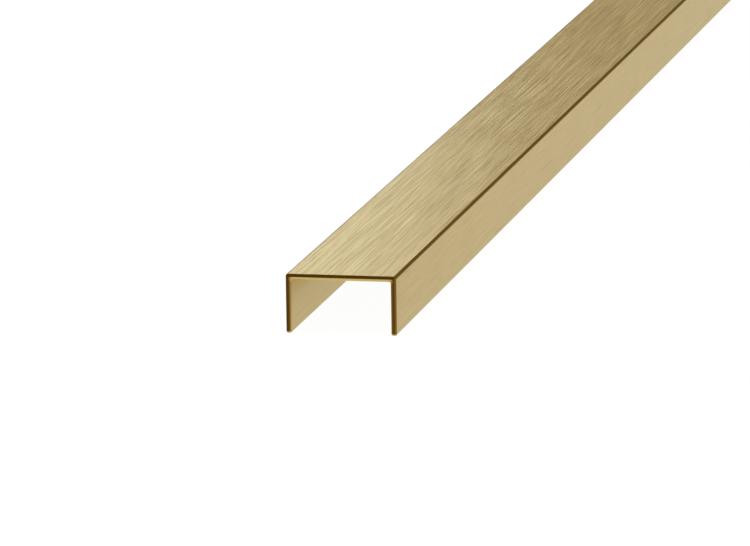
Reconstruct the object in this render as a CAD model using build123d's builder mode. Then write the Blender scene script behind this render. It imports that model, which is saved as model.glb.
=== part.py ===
"""A sawn length of aluminium channel with a gold anodised finish.

The channel is one extrusion of constant section: a flat web with a flange down each side, all of one wall.
It stands on the toes of its flanges, web uppermost, and the groove between the flanges is open below and at
both ends. The groove takes the edge of a board.

Millimetres. X runs across the web, Y along the length and Z up. The origin is at the middle of the length
and of the width, level with the toes.
"""

import os

from build123d import *

# Stock length
length = 1000.0

# Section
width = 20.0  # outside, across the web
flange_height = 10.7  # outside, from the toes to the top of the web
wall = 1.0  # web and flanges alike

# Edges of the section
corner_radius = 0.4  # outer edge between the web and each flange
root_radius = 0.3  # inner corner between the web and each flange
toe_land = 0.2  # flat left on the tip of each flange, between its two rounded edges

# Sawn ends, brushed over all round the section
end_land = 0.4  # flat left on the sawn face, in the middle of the wall

# Sizes that follow
groove_width = width - 2 * wall
groove_depth = flange_height - wall
toe_radius = (wall - toe_land) / 2
end_radius = min((wall - end_land) / 2, 0.9 * corner_radius, 0.9 * toe_radius)


with BuildPart() as channel_profile:
    with BuildSketch(Plane.XZ) as section:
        Rectangle(width, flange_height, align=(Align.CENTER, Align.MIN))
        Rectangle(groove_width, groove_depth, align=(Align.CENTER, Align.MIN), mode=Mode.SUBTRACT)
        toes, roots, corners = section.vertices().group_by(Axis.Y)
        fillet(corners, corner_radius)
        fillet(roots, root_radius)
        fillet(toes, toe_radius)
    extrude(amount=length / 2, both=True)
    sawn_faces = channel_profile.faces().filter_by(Axis.Y)
    fillet(sawn_faces.edges(), end_radius)

channel_profile.part.label = "channel_profile"

os.makedirs("parts", exist_ok=True)
export_step(channel_profile.part, "parts/channel_profile.step")
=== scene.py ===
import math
from collections import namedtuple

import bpy
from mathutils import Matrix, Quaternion, Vector


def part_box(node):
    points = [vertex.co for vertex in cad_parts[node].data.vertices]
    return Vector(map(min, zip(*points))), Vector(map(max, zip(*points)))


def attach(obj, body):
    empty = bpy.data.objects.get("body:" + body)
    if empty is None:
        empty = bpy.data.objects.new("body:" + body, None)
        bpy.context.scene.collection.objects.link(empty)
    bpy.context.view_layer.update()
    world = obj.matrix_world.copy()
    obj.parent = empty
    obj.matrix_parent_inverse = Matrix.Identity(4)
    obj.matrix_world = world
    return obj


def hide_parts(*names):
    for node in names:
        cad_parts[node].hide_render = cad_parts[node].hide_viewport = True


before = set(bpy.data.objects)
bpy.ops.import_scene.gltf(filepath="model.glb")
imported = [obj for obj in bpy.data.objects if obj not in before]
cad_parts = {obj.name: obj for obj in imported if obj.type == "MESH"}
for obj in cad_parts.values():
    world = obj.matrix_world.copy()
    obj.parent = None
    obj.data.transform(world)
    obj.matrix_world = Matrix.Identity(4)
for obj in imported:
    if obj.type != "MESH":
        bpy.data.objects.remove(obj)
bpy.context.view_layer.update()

# A sawn length of brushed, gold anodised aluminium channel, standing on its toes on a white studio floor.
# The bar is one mesh, swept along the channel's section and rounded over at its sawn ends.
# Metres. X runs across the web, Y along the length and Z up.

MM = 0.001

# Section of the channel
low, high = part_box("channel_profile")
width, length, height = high - low
wall = 1.0 * MM
corner_radius = 0.4 * MM
root_radius = 0.3 * MM
toe_radius = 0.4 * MM
end_radius = 0.3 * MM

# Fineness of the mesh. Each arc has a narrow face on the flat before it and one on the flat after it.
arc_steps = 8
arc_lead = 0.06 * MM
arc_faces = arc_steps + 2
rim_steps = 6
station_pitch = 25 * MM

# The colour runs by the mesh's darkness from gold, 0, through a highlight gold and a brown to a dark brown,
# 1.
# The highlight gold paints highlights on rims. The brown and the dark brown paint dark reflection on the
# sawn ends, their rims and the outer corners.
highlight_gold_at = 0.4
brown_at = 0.8
# Painted dark reflection along both outer top corners
corner_painted_shade = 0.92

# The flat strips of the section, clockwise as seen along +Y, each with the arc that follows it. Each has a
# darkness for the band of the sawn face beside it, and two for its rounded rim, which starts at the sawn
# face and ends at the long face. On an arc the darkness blends from one flat strip to the next. The
# darknesses are painted light: dark reflection on the sawn ends and their rims, a painted highlight on the
# right flange's outer rim, and painted highlights in highlight gold on the toe and inner rims and beside
# the roof. The roof is the underside of the web, and a toe land the flat tip of a flange.
Strip = namedtuple("Strip", "flat arc band rim_start rim_end")
outline = [
    Strip("web", "corner", 1.0, 1.0, 1.0),
    # Painted highlight: the right flange's outer rim is painted lighter than the left's, standing for the
    # right softbox's light
    Strip("right flange", "outer toe", 0.98, 0.88, 0.78),
    Strip("toe land", "inner toe", 0.98, 0.4, 0.3),
    Strip("right inner", "root", 0.93, 1.0, 0.3),
    # Painted highlight: the band of the sawn face beside the roof, and the roof's rims, in highlight gold
    Strip("roof", "root", 0.4, 0.4, 0.4),
    Strip("left inner", "inner toe", 0.93, 0.85, 0.3),
    Strip("toe land", "outer toe", 0.98, 0.4, 0.3),
    Strip("left flange", "corner", 0.98, 1.0, 1.0),
]

# Points round the section; the first half of them lies on the right of the bar and the rest on the left
section_points = len(outline) * (arc_faces + 1)
half_section = section_points // 2

# How far across the wall the outer band of a sawn face reaches
outer_band_share = 0.6

# How strongly each strip is brushed, and how much of the texture map it takes for its width
brushing = {"web": 1.0, "corner": 0.6}
other_brushing = 0.18
map_share = {
    "web": 2.0,
    "corner": 2.0,
    "right flange": 1.3,
    "left flange": 1.3,
    "right inner": 0.6,
    "left inner": 0.6,
    "roof": 0.5,
}
other_map_share = 1.0

# Where the sawn face, its inner band, its rounded rim and the long faces start, as shares of the map's width
sawn_column = 0.003
band_column = 0.009
rim_column = 0.022
long_column = 0.036

# Material slots of the bar
GOLD, EDGE, SAWN = range(3)

# A ring of points round the section: its place along the bar, how far it is drawn into the wall, the angle
# by which its normals turn towards +Y, its place on the rim from the sawn face, 0, to the long faces, 1, and
# its column in the texture map
Ring = namedtuple("Ring", "y inset turn rim column")

# A face: the numbers of its points, its material slot, the name of its strip, and the darkness and the place
# in the texture map at each of its points
Face = namedtuple("Face", "points slot strip darkness places")


def blend(start, end, share):
    """The value that lies a share of the way from start to end."""
    return start + (end - start) * share


def around(values):
    """Values of the flat strips, spread over the points of the section and blended across the arcs."""
    spread = []
    for value, following in zip(values, values[1:] + values[:1]):
        spread += [blend(value, following, step / arc_faces) for step in range(arc_faces + 1)]
    return spread


def strip_names():
    """The name of each narrow strip of faces, from the first point of the section to its last."""
    names = []
    for strip, following in zip(outline, outline[1:] + outline[:1]):
        names += [strip.arc] * arc_faces + [following.flat]
    return names


def arc(centre_x, centre_z, radius, start, side):
    """Points (x, z, normal x, normal z) round a quarter turn, with one more on the flat at each end. start
    is the arc's first angle in degrees, and side is 1 on an outer edge and -1 in a corner."""
    points = []
    for step in range(-1, arc_steps + 2):
        angle = math.radians(start - 90 * side * min(max(step / arc_steps, 0), 1))
        across, up = math.cos(angle), math.sin(angle)
        lead = side * arc_lead * ((step > arc_steps) - (step < 0))
        x = centre_x + radius * across + lead * up
        z = centre_z + radius * up - lead * across
        points.append((x, z, side * across, side * up))
    return points


def section(inset):
    """The closed section, clockwise as seen along +Y, drawn into the wall by inset."""
    side = width / 2
    inside = side - wall
    corner = arc(side - corner_radius, height - corner_radius, corner_radius - inset, 90, 1)
    outer_toe = arc(side - toe_radius, toe_radius, toe_radius - inset, 0, 1)
    inner_toe = arc(inside + toe_radius, toe_radius, toe_radius - inset, -90, 1)
    root = arc(inside - root_radius, height - wall - root_radius, root_radius + inset, 0, -1)
    right = corner + outer_toe + inner_toe + root
    left = [(-x, z, -across, up) for x, z, across, up in reversed(right)]
    return right + left


def outer_points():
    """The numbers of the points along the outer side of the wall, from the left toe to the right one."""
    beside_toe = half_section // 2
    return [point % section_points for point in range(-beside_toe, half_section - beside_toe)]


def opposite(point):
    """The number of the point that faces the given one across the wall, in the same half of the section."""
    first = 0 if point < half_section else half_section
    last = first + half_section - 1
    return first + last - point


def bar_rings():
    """The rings of points from the near end of the bar to the far end."""
    near, far = [], []
    for step in range(rim_steps + 1):
        rim = step / rim_steps
        turn = math.radians(90 - 90 * rim)
        depth = end_radius * (1 - math.sin(turn))
        inset = end_radius * (1 - math.cos(turn))
        column = blend(rim_column, long_column, rim)
        near.append(Ring(low.y + depth, inset, -turn, rim, column))
        far.append(Ring(high.y - depth, inset, turn, rim, 1 - column))
    middle = []
    stations = round(length / station_pitch)
    for station in range(1, stations):
        share = station / stations
        column = blend(long_column, 1 - long_column, share)
        middle.append(Ring(low.y + length * share, 0.0, 0.0, 1.0, column))
    return near + middle + far[::-1]


def ring_points(rings):
    """The vertices of the rings and their normals."""
    vertices, normals = [], []
    for ring in rings:
        outward, endward = math.cos(ring.turn), math.sin(ring.turn)
        for x, z, across, up in section(ring.inset):
            vertices.append(Vector((x, ring.y, z)))
            normals.append((across * outward, endward, up * outward))
    return vertices, normals


def middle_line(ring):
    """The line between the two bands of a sawn face, along the wall, from the vertices of its ring."""
    return [ring[point].lerp(ring[opposite(point)], outer_band_share) for point in outer_points()]


def map_rows():
    """How far round the section each of its points lies in the texture map, from 0 to 1."""
    points = [Vector(point[:2]) for point in section(0.0)]
    rows = [0.0]
    for name, point, after in zip(strip_names(), points, points[1:] + points[:1]):
        rows.append(rows[-1] + (after - point).length * map_share.get(name, other_map_share))
    return [row / rows[-1] for row in rows]


def long_faces(rings, rows):
    """The faces between neighbouring rings, on the rounded rims and the long faces. The outer corners, with
    their painted dark reflection, have the edge's material. So does a rim where its painted dark reflection
    is full."""
    rim_starts = around([strip.rim_start for strip in outline])
    rim_ends = around([strip.rim_end for strip in outline])
    names = strip_names()
    faces = []
    for index, (here, there) in enumerate(zip(rings, rings[1:])):
        start = index * section_points
        end = start + section_points
        on_rim = min(here.rim, there.rim) < 1
        for point, name in enumerate(names):
            after = (point + 1) % section_points
            corners = ((point, here), (after, here), (after, there), (point, there))
            if on_rim:
                darkness = [blend(rim_starts[p], rim_ends[p], ring.rim) for p, ring in corners]
            else:
                darkness = [corner_painted_shade if name == "corner" else 0.0 for _ in corners]
            slot = EDGE if name == "corner" or min(darkness) == 1 else GOLD
            numbers = (start + point, start + after, end + after, end + point)
            row, next_row = rows[point], rows[point + 1]
            near_side = ((here.column, row), (here.column, next_row))
            far_side = ((there.column, next_row), (there.column, row))
            faces.append(Face(numbers, slot, name, darkness, near_side + far_side))
    return faces


def band_face(points, columns, rows, darkness):
    """A face of a sawn end. It reaches from one column of the texture map to another and from one row to the
    next, and darkness is given for each of the two rows."""
    column, next_column = columns
    row, next_row = rows
    here, after = darkness
    places = ((column, row), (next_column, row), (next_column, next_row), (column, next_row))
    return Face(points, SAWN, "sawn", (here, here, after, after), places)


def sawn_faces(first, middle, rows, columns):
    """Two bands of faces across the wall of a sawn end. first and middle are the numbers of the first points
    of its ring and of the line between the bands."""
    bands = around([strip.band for strip in outline])
    outer_column, middle_column, inner_column = columns
    outer = outer_points()
    faces = []
    for step, (point, after) in enumerate(zip(outer, outer[1:])):
        between, between_after = middle + step, middle + step + 1
        facing, facing_after = opposite(point), opposite(after)
        both_rows = (rows[point], rows[point + 1])
        faces.append(
            band_face(
                (first + point, between, between_after, first + after),
                (outer_column, middle_column),
                both_rows,
                (bands[point], bands[after]),
            )
        )
        faces.append(
            band_face(
                (between, first + facing, first + facing_after, between_after),
                (middle_column, inner_column),
                both_rows,
                (bands[facing], bands[facing_after]),
            )
        )
    return faces


def turned_over(face):
    """The same face seen from its other side."""
    return face._replace(points=face.points[::-1], darkness=face.darkness[::-1], places=face.places[::-1])


def bar_shape():
    """The vertices, normals and faces of the bar, from its rings and then its near and far sawn faces."""
    rings = bar_rings()
    rows = map_rows()
    vertices, normals = ring_points(rings)
    faces = long_faces(rings, rows)
    last_ring = len(vertices) - section_points
    near_columns = (sawn_column, band_column, rim_column)
    far_columns = [1 - column for column in near_columns]
    for first, direction, columns in ((0, -1, near_columns), (last_ring, 1, far_columns)):
        middle = len(vertices)
        vertices += middle_line(vertices[first : first + section_points])
        normals += [(0, direction, 0)] * half_section
        end = sawn_faces(first, middle, rows, columns)
        faces += end if direction < 0 else [turned_over(face) for face in end]
    return vertices, normals, faces


def bar_mesh():
    """The bar's mesh, with the brushing of its faces and the darkness and map place of their corners."""
    vertices, normals, faces = bar_shape()
    mesh = bpy.data.meshes.new("channel_bar")
    mesh.from_pydata(vertices, [], [face.points for face in faces])
    mesh.shade_smooth()
    mesh.normals_split_custom_set_from_vertices(normals)
    mesh.polygons.foreach_set("material_index", [face.slot for face in faces])
    brushed = [brushing.get(face.strip, other_brushing) for face in faces]
    mesh.attributes.new("brushing", "FLOAT", "FACE").data.foreach_set("value", brushed)
    dark = [value for face in faces for value in face.darkness]
    mesh.attributes.new("darkness", "FLOAT", "CORNER").data.foreach_set("value", dark)
    places = [value for face in faces for place in face.places for value in place]
    mesh.uv_layers.new(name="OFBake").uv.foreach_set("vector", places)
    return mesh


def new_object(name, data):
    """A new object in the scene."""
    made = bpy.data.objects.new(name, data)
    bpy.context.scene.collection.objects.link(made)
    return made


def linear(red, green, blue):
    """The linear colour of an sRGB one given in 0 to 255, by the curve that defines sRGB."""
    channels = []
    for value in (red, green, blue):
        level = value / 255
        channels.append(level / 12.92 if level <= 0.04045 else ((level + 0.055) / 1.055) ** 2.4)
    return (*channels, 1.0)


# Colours of the bar, dark and light where they vary with the brushing. The gold is the finish's own. The
# highlight gold paints highlights, and the brown and the darkest colours paint dark reflection.
gold_dark = linear(133, 94, 0)
gold_light = linear(219, 207, 166)
# A paler, richer gold that paints the highlights on the rims
highlight_gold = linear(204, 178, 112)
brown = linear(132, 98, 42)
painted_shade_dark = linear(68, 46, 6)
painted_shade_light = linear(92, 66, 18)

# Painted shade along the roots of the groove, where the inner faces shade each other: the gold is painted
# deeper there, and it fades to the plain gold this far from them
root_painted_shade = linear(176, 142, 55)
root_shade_fade = 4.5 * MM

# Tints of the metals where they are seen at a grazing angle
gold_tint = (0.92, 0.84, 0.62, 1.0)
painted_shade_tint = (0.72, 0.62, 0.42, 1.0)

# The tone of a metal varies around this, from 0, dark, to 1, light
middle_tone = 0.5

# A layer of noise: its size in millimetres, its turn in degrees, its detail, and the weight with which it
# adds to the tone where it stands above its threshold
Grain = namedtuple("Grain", "size turn detail weight threshold")

# Two sets of fine strokes that cross, a broad shading, light hairlines and dark hairlines
brush_strokes = [
    Grain((0.08, 20, 0.08), (0, 0, 0.5), 1.0, 2.5, 0.0),
    Grain((0.10, 46, 0.10), (0, 0, -0.6), 1.0, 2.0, 0.0),
    Grain((1.3, 60, 1.3), (0, 0, 0), 1.0, 0.15, 0.0),
    Grain((0.08, 36, 0.08), (0, 0, 0.2), 0.0, 8.0, 0.62),
    Grain((0.08, 28, 0.08), (0, 0, -0.3), 0.0, -9.0, 0.62),
]
edge_strokes = [Grain((0.2, 18, 0.2), (0, 0, 0), 2.0, 1.0, 0.0)]
saw_marks = [
    Grain((0.12, 5, 6), (0, 20, 0), 2.0, 1.0, 0.0),
    Grain((0.5, 5, 0.5), (0, 0, 0), 1.0, 0.6, 0.0),
]

# The metals of the bar, in the order of its slots. Roughness is given for the dark tones and for the light
# ones, and depth is the height of the relief. The tangent lies along the strokes, and highlights are drawn
# out across them, a quarter of a full turn away.
Metal = namedtuple("Metal", "name grains roughness depth tint anisotropy")
metals = [
    Metal("brushed_gold", brush_strokes, (0.285, 0.345), 0.005 * MM, gold_tint, 0.4),
    # The metals of the outer corners and the sawn ends carry painted dark reflection
    Metal("painted_shade_edge", edge_strokes, (0.34, 0.44), 0.004 * MM, painted_shade_tint, 0.3),
    Metal("sawn_painted_shade", saw_marks, (0.36, 0.48), 0.006 * MM, painted_shade_tint, 0.0),
]
quarter_turn = 0.25

# The sockets of a node that mixes colours, by number, since it has more of the same names
mix_share = 0
mix_first = 6
mix_second = 7
mix_result = 2


def add_node(tree, kind, inputs, **settings):
    """A new shader node; inputs maps sockets, by name or number, to values or to other nodes' outputs."""
    node = tree.nodes.new("ShaderNode" + kind)
    for name, value in settings.items():
        setattr(node, name, value)
    for key, value in inputs.items():
        socket = node.inputs[key]
        if isinstance(value, bpy.types.NodeSocket):
            tree.links.new(value, socket)
        else:
            socket.default_value = value
    return node


def maths(tree, operation, *values):
    """The result of an operation on the values."""
    return add_node(tree, "Math", dict(enumerate(values)), operation=operation).outputs["Value"]


def attribute(tree, name):
    """The mesh's own value of this name."""
    return add_node(tree, "Attribute", {}, attribute_name=name).outputs["Fac"]


def mixed(tree, share, first, second):
    """The colour that lies a share of the way from the first to the second."""
    inputs = {mix_share: share, mix_first: first, mix_second: second}
    return add_node(tree, "Mix", inputs, data_type="RGBA").outputs[mix_result]


def mixed_shader(tree, share, first, second):
    """The shader that lies a share of the way from the first to the second."""
    return add_node(tree, "MixShader", dict(enumerate((share, first, second)))).outputs["Shader"]


def new_material(name):
    """A new material and its emptied node tree."""
    material = bpy.data.materials.new(name)
    material.use_nodes = True
    material.node_tree.nodes.clear()
    return material, material.node_tree


def pattern(tree, grains):
    """The layers of grain added up, around the middle tone."""
    place = add_node(tree, "TexCoord", {}).outputs["Object"]
    total = middle_tone
    for grain in grains:
        drawn_out = {
            "Vector": place,
            "Rotation": [math.radians(angle) for angle in grain.turn],
            "Scale": [size * MM for size in grain.size],
        }
        stretched = add_node(tree, "Mapping", drawn_out, vector_type="TEXTURE").outputs["Vector"]
        noise = add_node(tree, "TexNoise", {"Vector": stretched, "Scale": 1.0, "Detail": grain.detail})
        above = maths(tree, "MAXIMUM", noise.outputs["Fac"], grain.threshold)
        centred = maths(tree, "SUBTRACT", above, max(grain.threshold, middle_tone))
        total = maths(tree, "MULTIPLY_ADD", centred, grain.weight, total)
    return total


def near_root(tree):
    """1 at the roots of the groove, falling to 0 away from them. It is 0 on the outside of the bar, which
    lies a whole wall behind the inner faces."""
    place = add_node(tree, "TexCoord", {}).outputs["Object"]
    axes = add_node(tree, "SeparateXYZ", {"Vector": place}).outputs
    sideways = maths(tree, "ABSOLUTE", axes["X"])
    from_flange = maths(tree, "SUBTRACT", width / 2 - wall, sideways)
    from_web = maths(tree, "SUBTRACT", height - wall, axes["Z"])
    away = maths(tree, "MAXIMUM", from_flange, from_web)
    fade = {"Value": away, "From Max": root_shade_fade, "To Min": 1.0, "To Max": 0.0}
    faded = add_node(tree, "MapRange", fade).outputs["Result"]
    nearest = maths(tree, "MINIMUM", from_flange, from_web)
    inside = maths(tree, "GREATER_THAN", nearest, -wall / 2)
    return maths(tree, "MULTIPLY", faded, inside)


def finish_colour(tree, tone):
    """Gold with painted shade along the roots, then, by the mesh's darkness, the highlight gold, the brown
    and the darkest colour of the painted highlights and painted dark reflection. The first and last are
    varied by tone.
    """
    darkness = attribute(tree, "darkness")
    colour = mixed(tree, tone, gold_dark, gold_light)
    # Painted shade along the roots of the groove
    colour = mixed(tree, near_root(tree), colour, root_painted_shade)
    # The darkest colour of the painted dark reflection, varied by tone
    painted_shade = mixed(tree, tone, painted_shade_dark, painted_shade_light)
    start = 0.0
    for end, deeper in ((highlight_gold_at, highlight_gold), (brown_at, brown), (1.0, painted_shade)):
        reached = add_node(tree, "MapRange", {"Value": darkness, "From Min": start, "From Max": end})
        colour = mixed(tree, reached.outputs["Result"], colour, deeper)
        start = end
    return colour


def metal_material(metal):
    """A metal whose tone, roughness and relief follow one pattern of grain."""
    material, tree = new_material(metal.name)
    tone = pattern(tree, metal.grains)
    strength = attribute(tree, "brushing")
    dark_roughness, light_roughness = metal.roughness
    sheen = add_node(tree, "MapRange", {"Value": tone, "To Min": dark_roughness, "To Max": light_roughness})
    relief = add_node(tree, "Bump", {"Strength": strength, "Distance": metal.depth, "Height": tone})
    along = add_node(tree, "CombineXYZ", {"Y": 1.0})
    centred = maths(tree, "SUBTRACT", tone, middle_tone)
    shown = maths(tree, "MULTIPLY_ADD", centred, strength, middle_tone)
    shader = add_node(
        tree,
        "BsdfPrincipled",
        {
            "Base Color": finish_colour(tree, shown),
            "Metallic": 1.0,
            "Roughness": sheen.outputs["Result"],
            "Anisotropic": metal.anisotropy,
            "Anisotropic Rotation": quarter_turn,
            "Specular Tint": metal.tint,
            "Normal": relief.outputs["Normal"],
            "Tangent": along.outputs["Vector"],
        },
    )
    add_node(tree, "OutputMaterial", {"Surface": shader.outputs["BSDF"]})
    return material


# Camera, found from the straight edges of the photo
photo_width = 750
focal_pixels = 6731
sensor_width = 36.0
clip_near = 0.05
clip_far = 500.0
camera_place = (0.2491, -1.6393, 0.2439)
camera_direction = Vector((-0.20445, 0.9591, -0.1958))
camera_roll = -0.0136


def make_camera():
    """The camera of the photo."""
    data = bpy.data.cameras.new("camera")
    data.sensor_fit = "HORIZONTAL"
    data.sensor_width = sensor_width
    data.lens = sensor_width * focal_pixels / photo_width
    data.clip_start = clip_near
    data.clip_end = clip_far
    camera = new_object("camera", data)
    camera.location = camera_place
    camera.rotation_mode = "QUATERNION"
    roll = Quaternion((0, 0, 1), camera_roll)
    camera.rotation_quaternion = camera_direction.to_track_quat("-Z", "Y") @ roll
    return camera


# Floor. It glows, so that it is white all over, and a share of paint in it takes the bar's shadow.
floor_reach = 200.0
floor_drop = 0.05 * MM
floor_glow = 1.05
mirrored_glow = 0.98
shadow_share = 0.08
floor_paint = (0.9, 0.9, 0.9, 1.0)


def white_floor():
    """The floor's material. The bar mirrors it as an even white, without the shadow."""
    material, tree = new_material("white_floor")
    ray = add_node(tree, "LightPath", {}).outputs
    mirrored = maths(tree, "MAXIMUM", ray["Is Glossy Ray"], ray["Is Transmission Ray"])
    reflected = add_node(tree, "Emission", {"Strength": mirrored_glow}).outputs["Emission"]
    glow = add_node(tree, "Emission", {"Strength": floor_glow}).outputs["Emission"]
    paint = add_node(tree, "BsdfDiffuse", {"Color": floor_paint}).outputs["BSDF"]
    shaded = mixed_shader(tree, shadow_share, glow, paint)
    seen = mixed_shader(tree, mirrored, shaded, reflected)
    add_node(tree, "OutputMaterial", {"Surface": seen})
    return material


def make_floor():
    """A wide square, a hair below the toes of the bar."""
    sides = [(-1, -1), (1, -1), (1, 1), (-1, 1)]
    corners = [(x * floor_reach, y * floor_reach, -floor_drop) for x, y in sides]
    mesh = bpy.data.meshes.new("floor")
    mesh.from_pydata(corners, [], [(0, 1, 2, 3)])
    mesh.materials.append(white_floor())
    return new_object("floor", mesh)


# World: its colours from the horizon, at height 0, to straight overhead, at 1
sky_stops = [
    (0.00, (1.00, 1.00, 1.00)),
    (0.02, (0.61, 0.55, 0.44)),
    (0.55, (0.61, 0.55, 0.44)),
    (0.85, (1.05, 1.05, 1.05)),
]


def make_world():
    """A studio that is white at the horizon, dim and warm above it and bright overhead."""
    world = bpy.data.worlds.new("studio")
    world.use_nodes = True
    tree = world.node_tree
    tree.nodes.clear()
    direction = add_node(tree, "TexCoord", {}).outputs["Generated"]
    up = add_node(tree, "SeparateXYZ", {"Vector": direction}).outputs["Z"]
    sky = add_node(tree, "ValToRGB", {"Fac": up})
    elements = sky.color_ramp.elements
    for position, _ in sky_stops[1:-1]:
        elements.new(position)
    for element, (position, colour) in zip(elements, sky_stops):
        element.position = position
        element.color = (*colour, 1.0)
    background = add_node(tree, "Background", {"Color": sky.outputs["Color"]})
    add_node(tree, "OutputWorld", {"Surface": background.outputs["Background"]})
    return world


# Lamps: two softboxes that face the near part of the bar
lamp_target = Vector((0.0, -0.45, 0.01))
Lamp = namedtuple("Lamp", "name place size power colour")
lamps = [
    Lamp("left_softbox", (-0.42, 0.62, 0.17), (0.38, 0.30), 0.71, (0.78, 0.93, 1.12)),
    Lamp("right_softbox", (0.55, -0.95, 0.22), (0.90, 0.32), 0.66, (0.98, 1.0, 1.01)),
]


def make_softbox(lamp):
    """A rectangular lamp that lights the bar and stays out of the picture."""
    data = bpy.data.lights.new(lamp.name, "AREA")
    data.shape = "RECTANGLE"
    data.size, data.size_y = lamp.size
    data.energy = lamp.power
    data.color = lamp.colour
    softbox = new_object(lamp.name, data)
    softbox.location = lamp.place
    softbox.rotation_euler = (lamp_target - Vector(lamp.place)).to_track_quat("-Z", "Y").to_euler()
    softbox.visible_camera = False


# The bar takes the place of the plain channel
bar = new_object("channel_bar", bar_mesh())
for metal in metals:
    bar.data.materials.append(metal_material(metal))

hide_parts("channel_profile")
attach(bar, "root")

# Studio
bpy.context.scene.camera = make_camera()
floor = make_floor()
bpy.context.scene.world = make_world()
for lamp in lamps:
    make_softbox(lamp)

bpy.context.scene.view_settings.view_transform = "Standard"
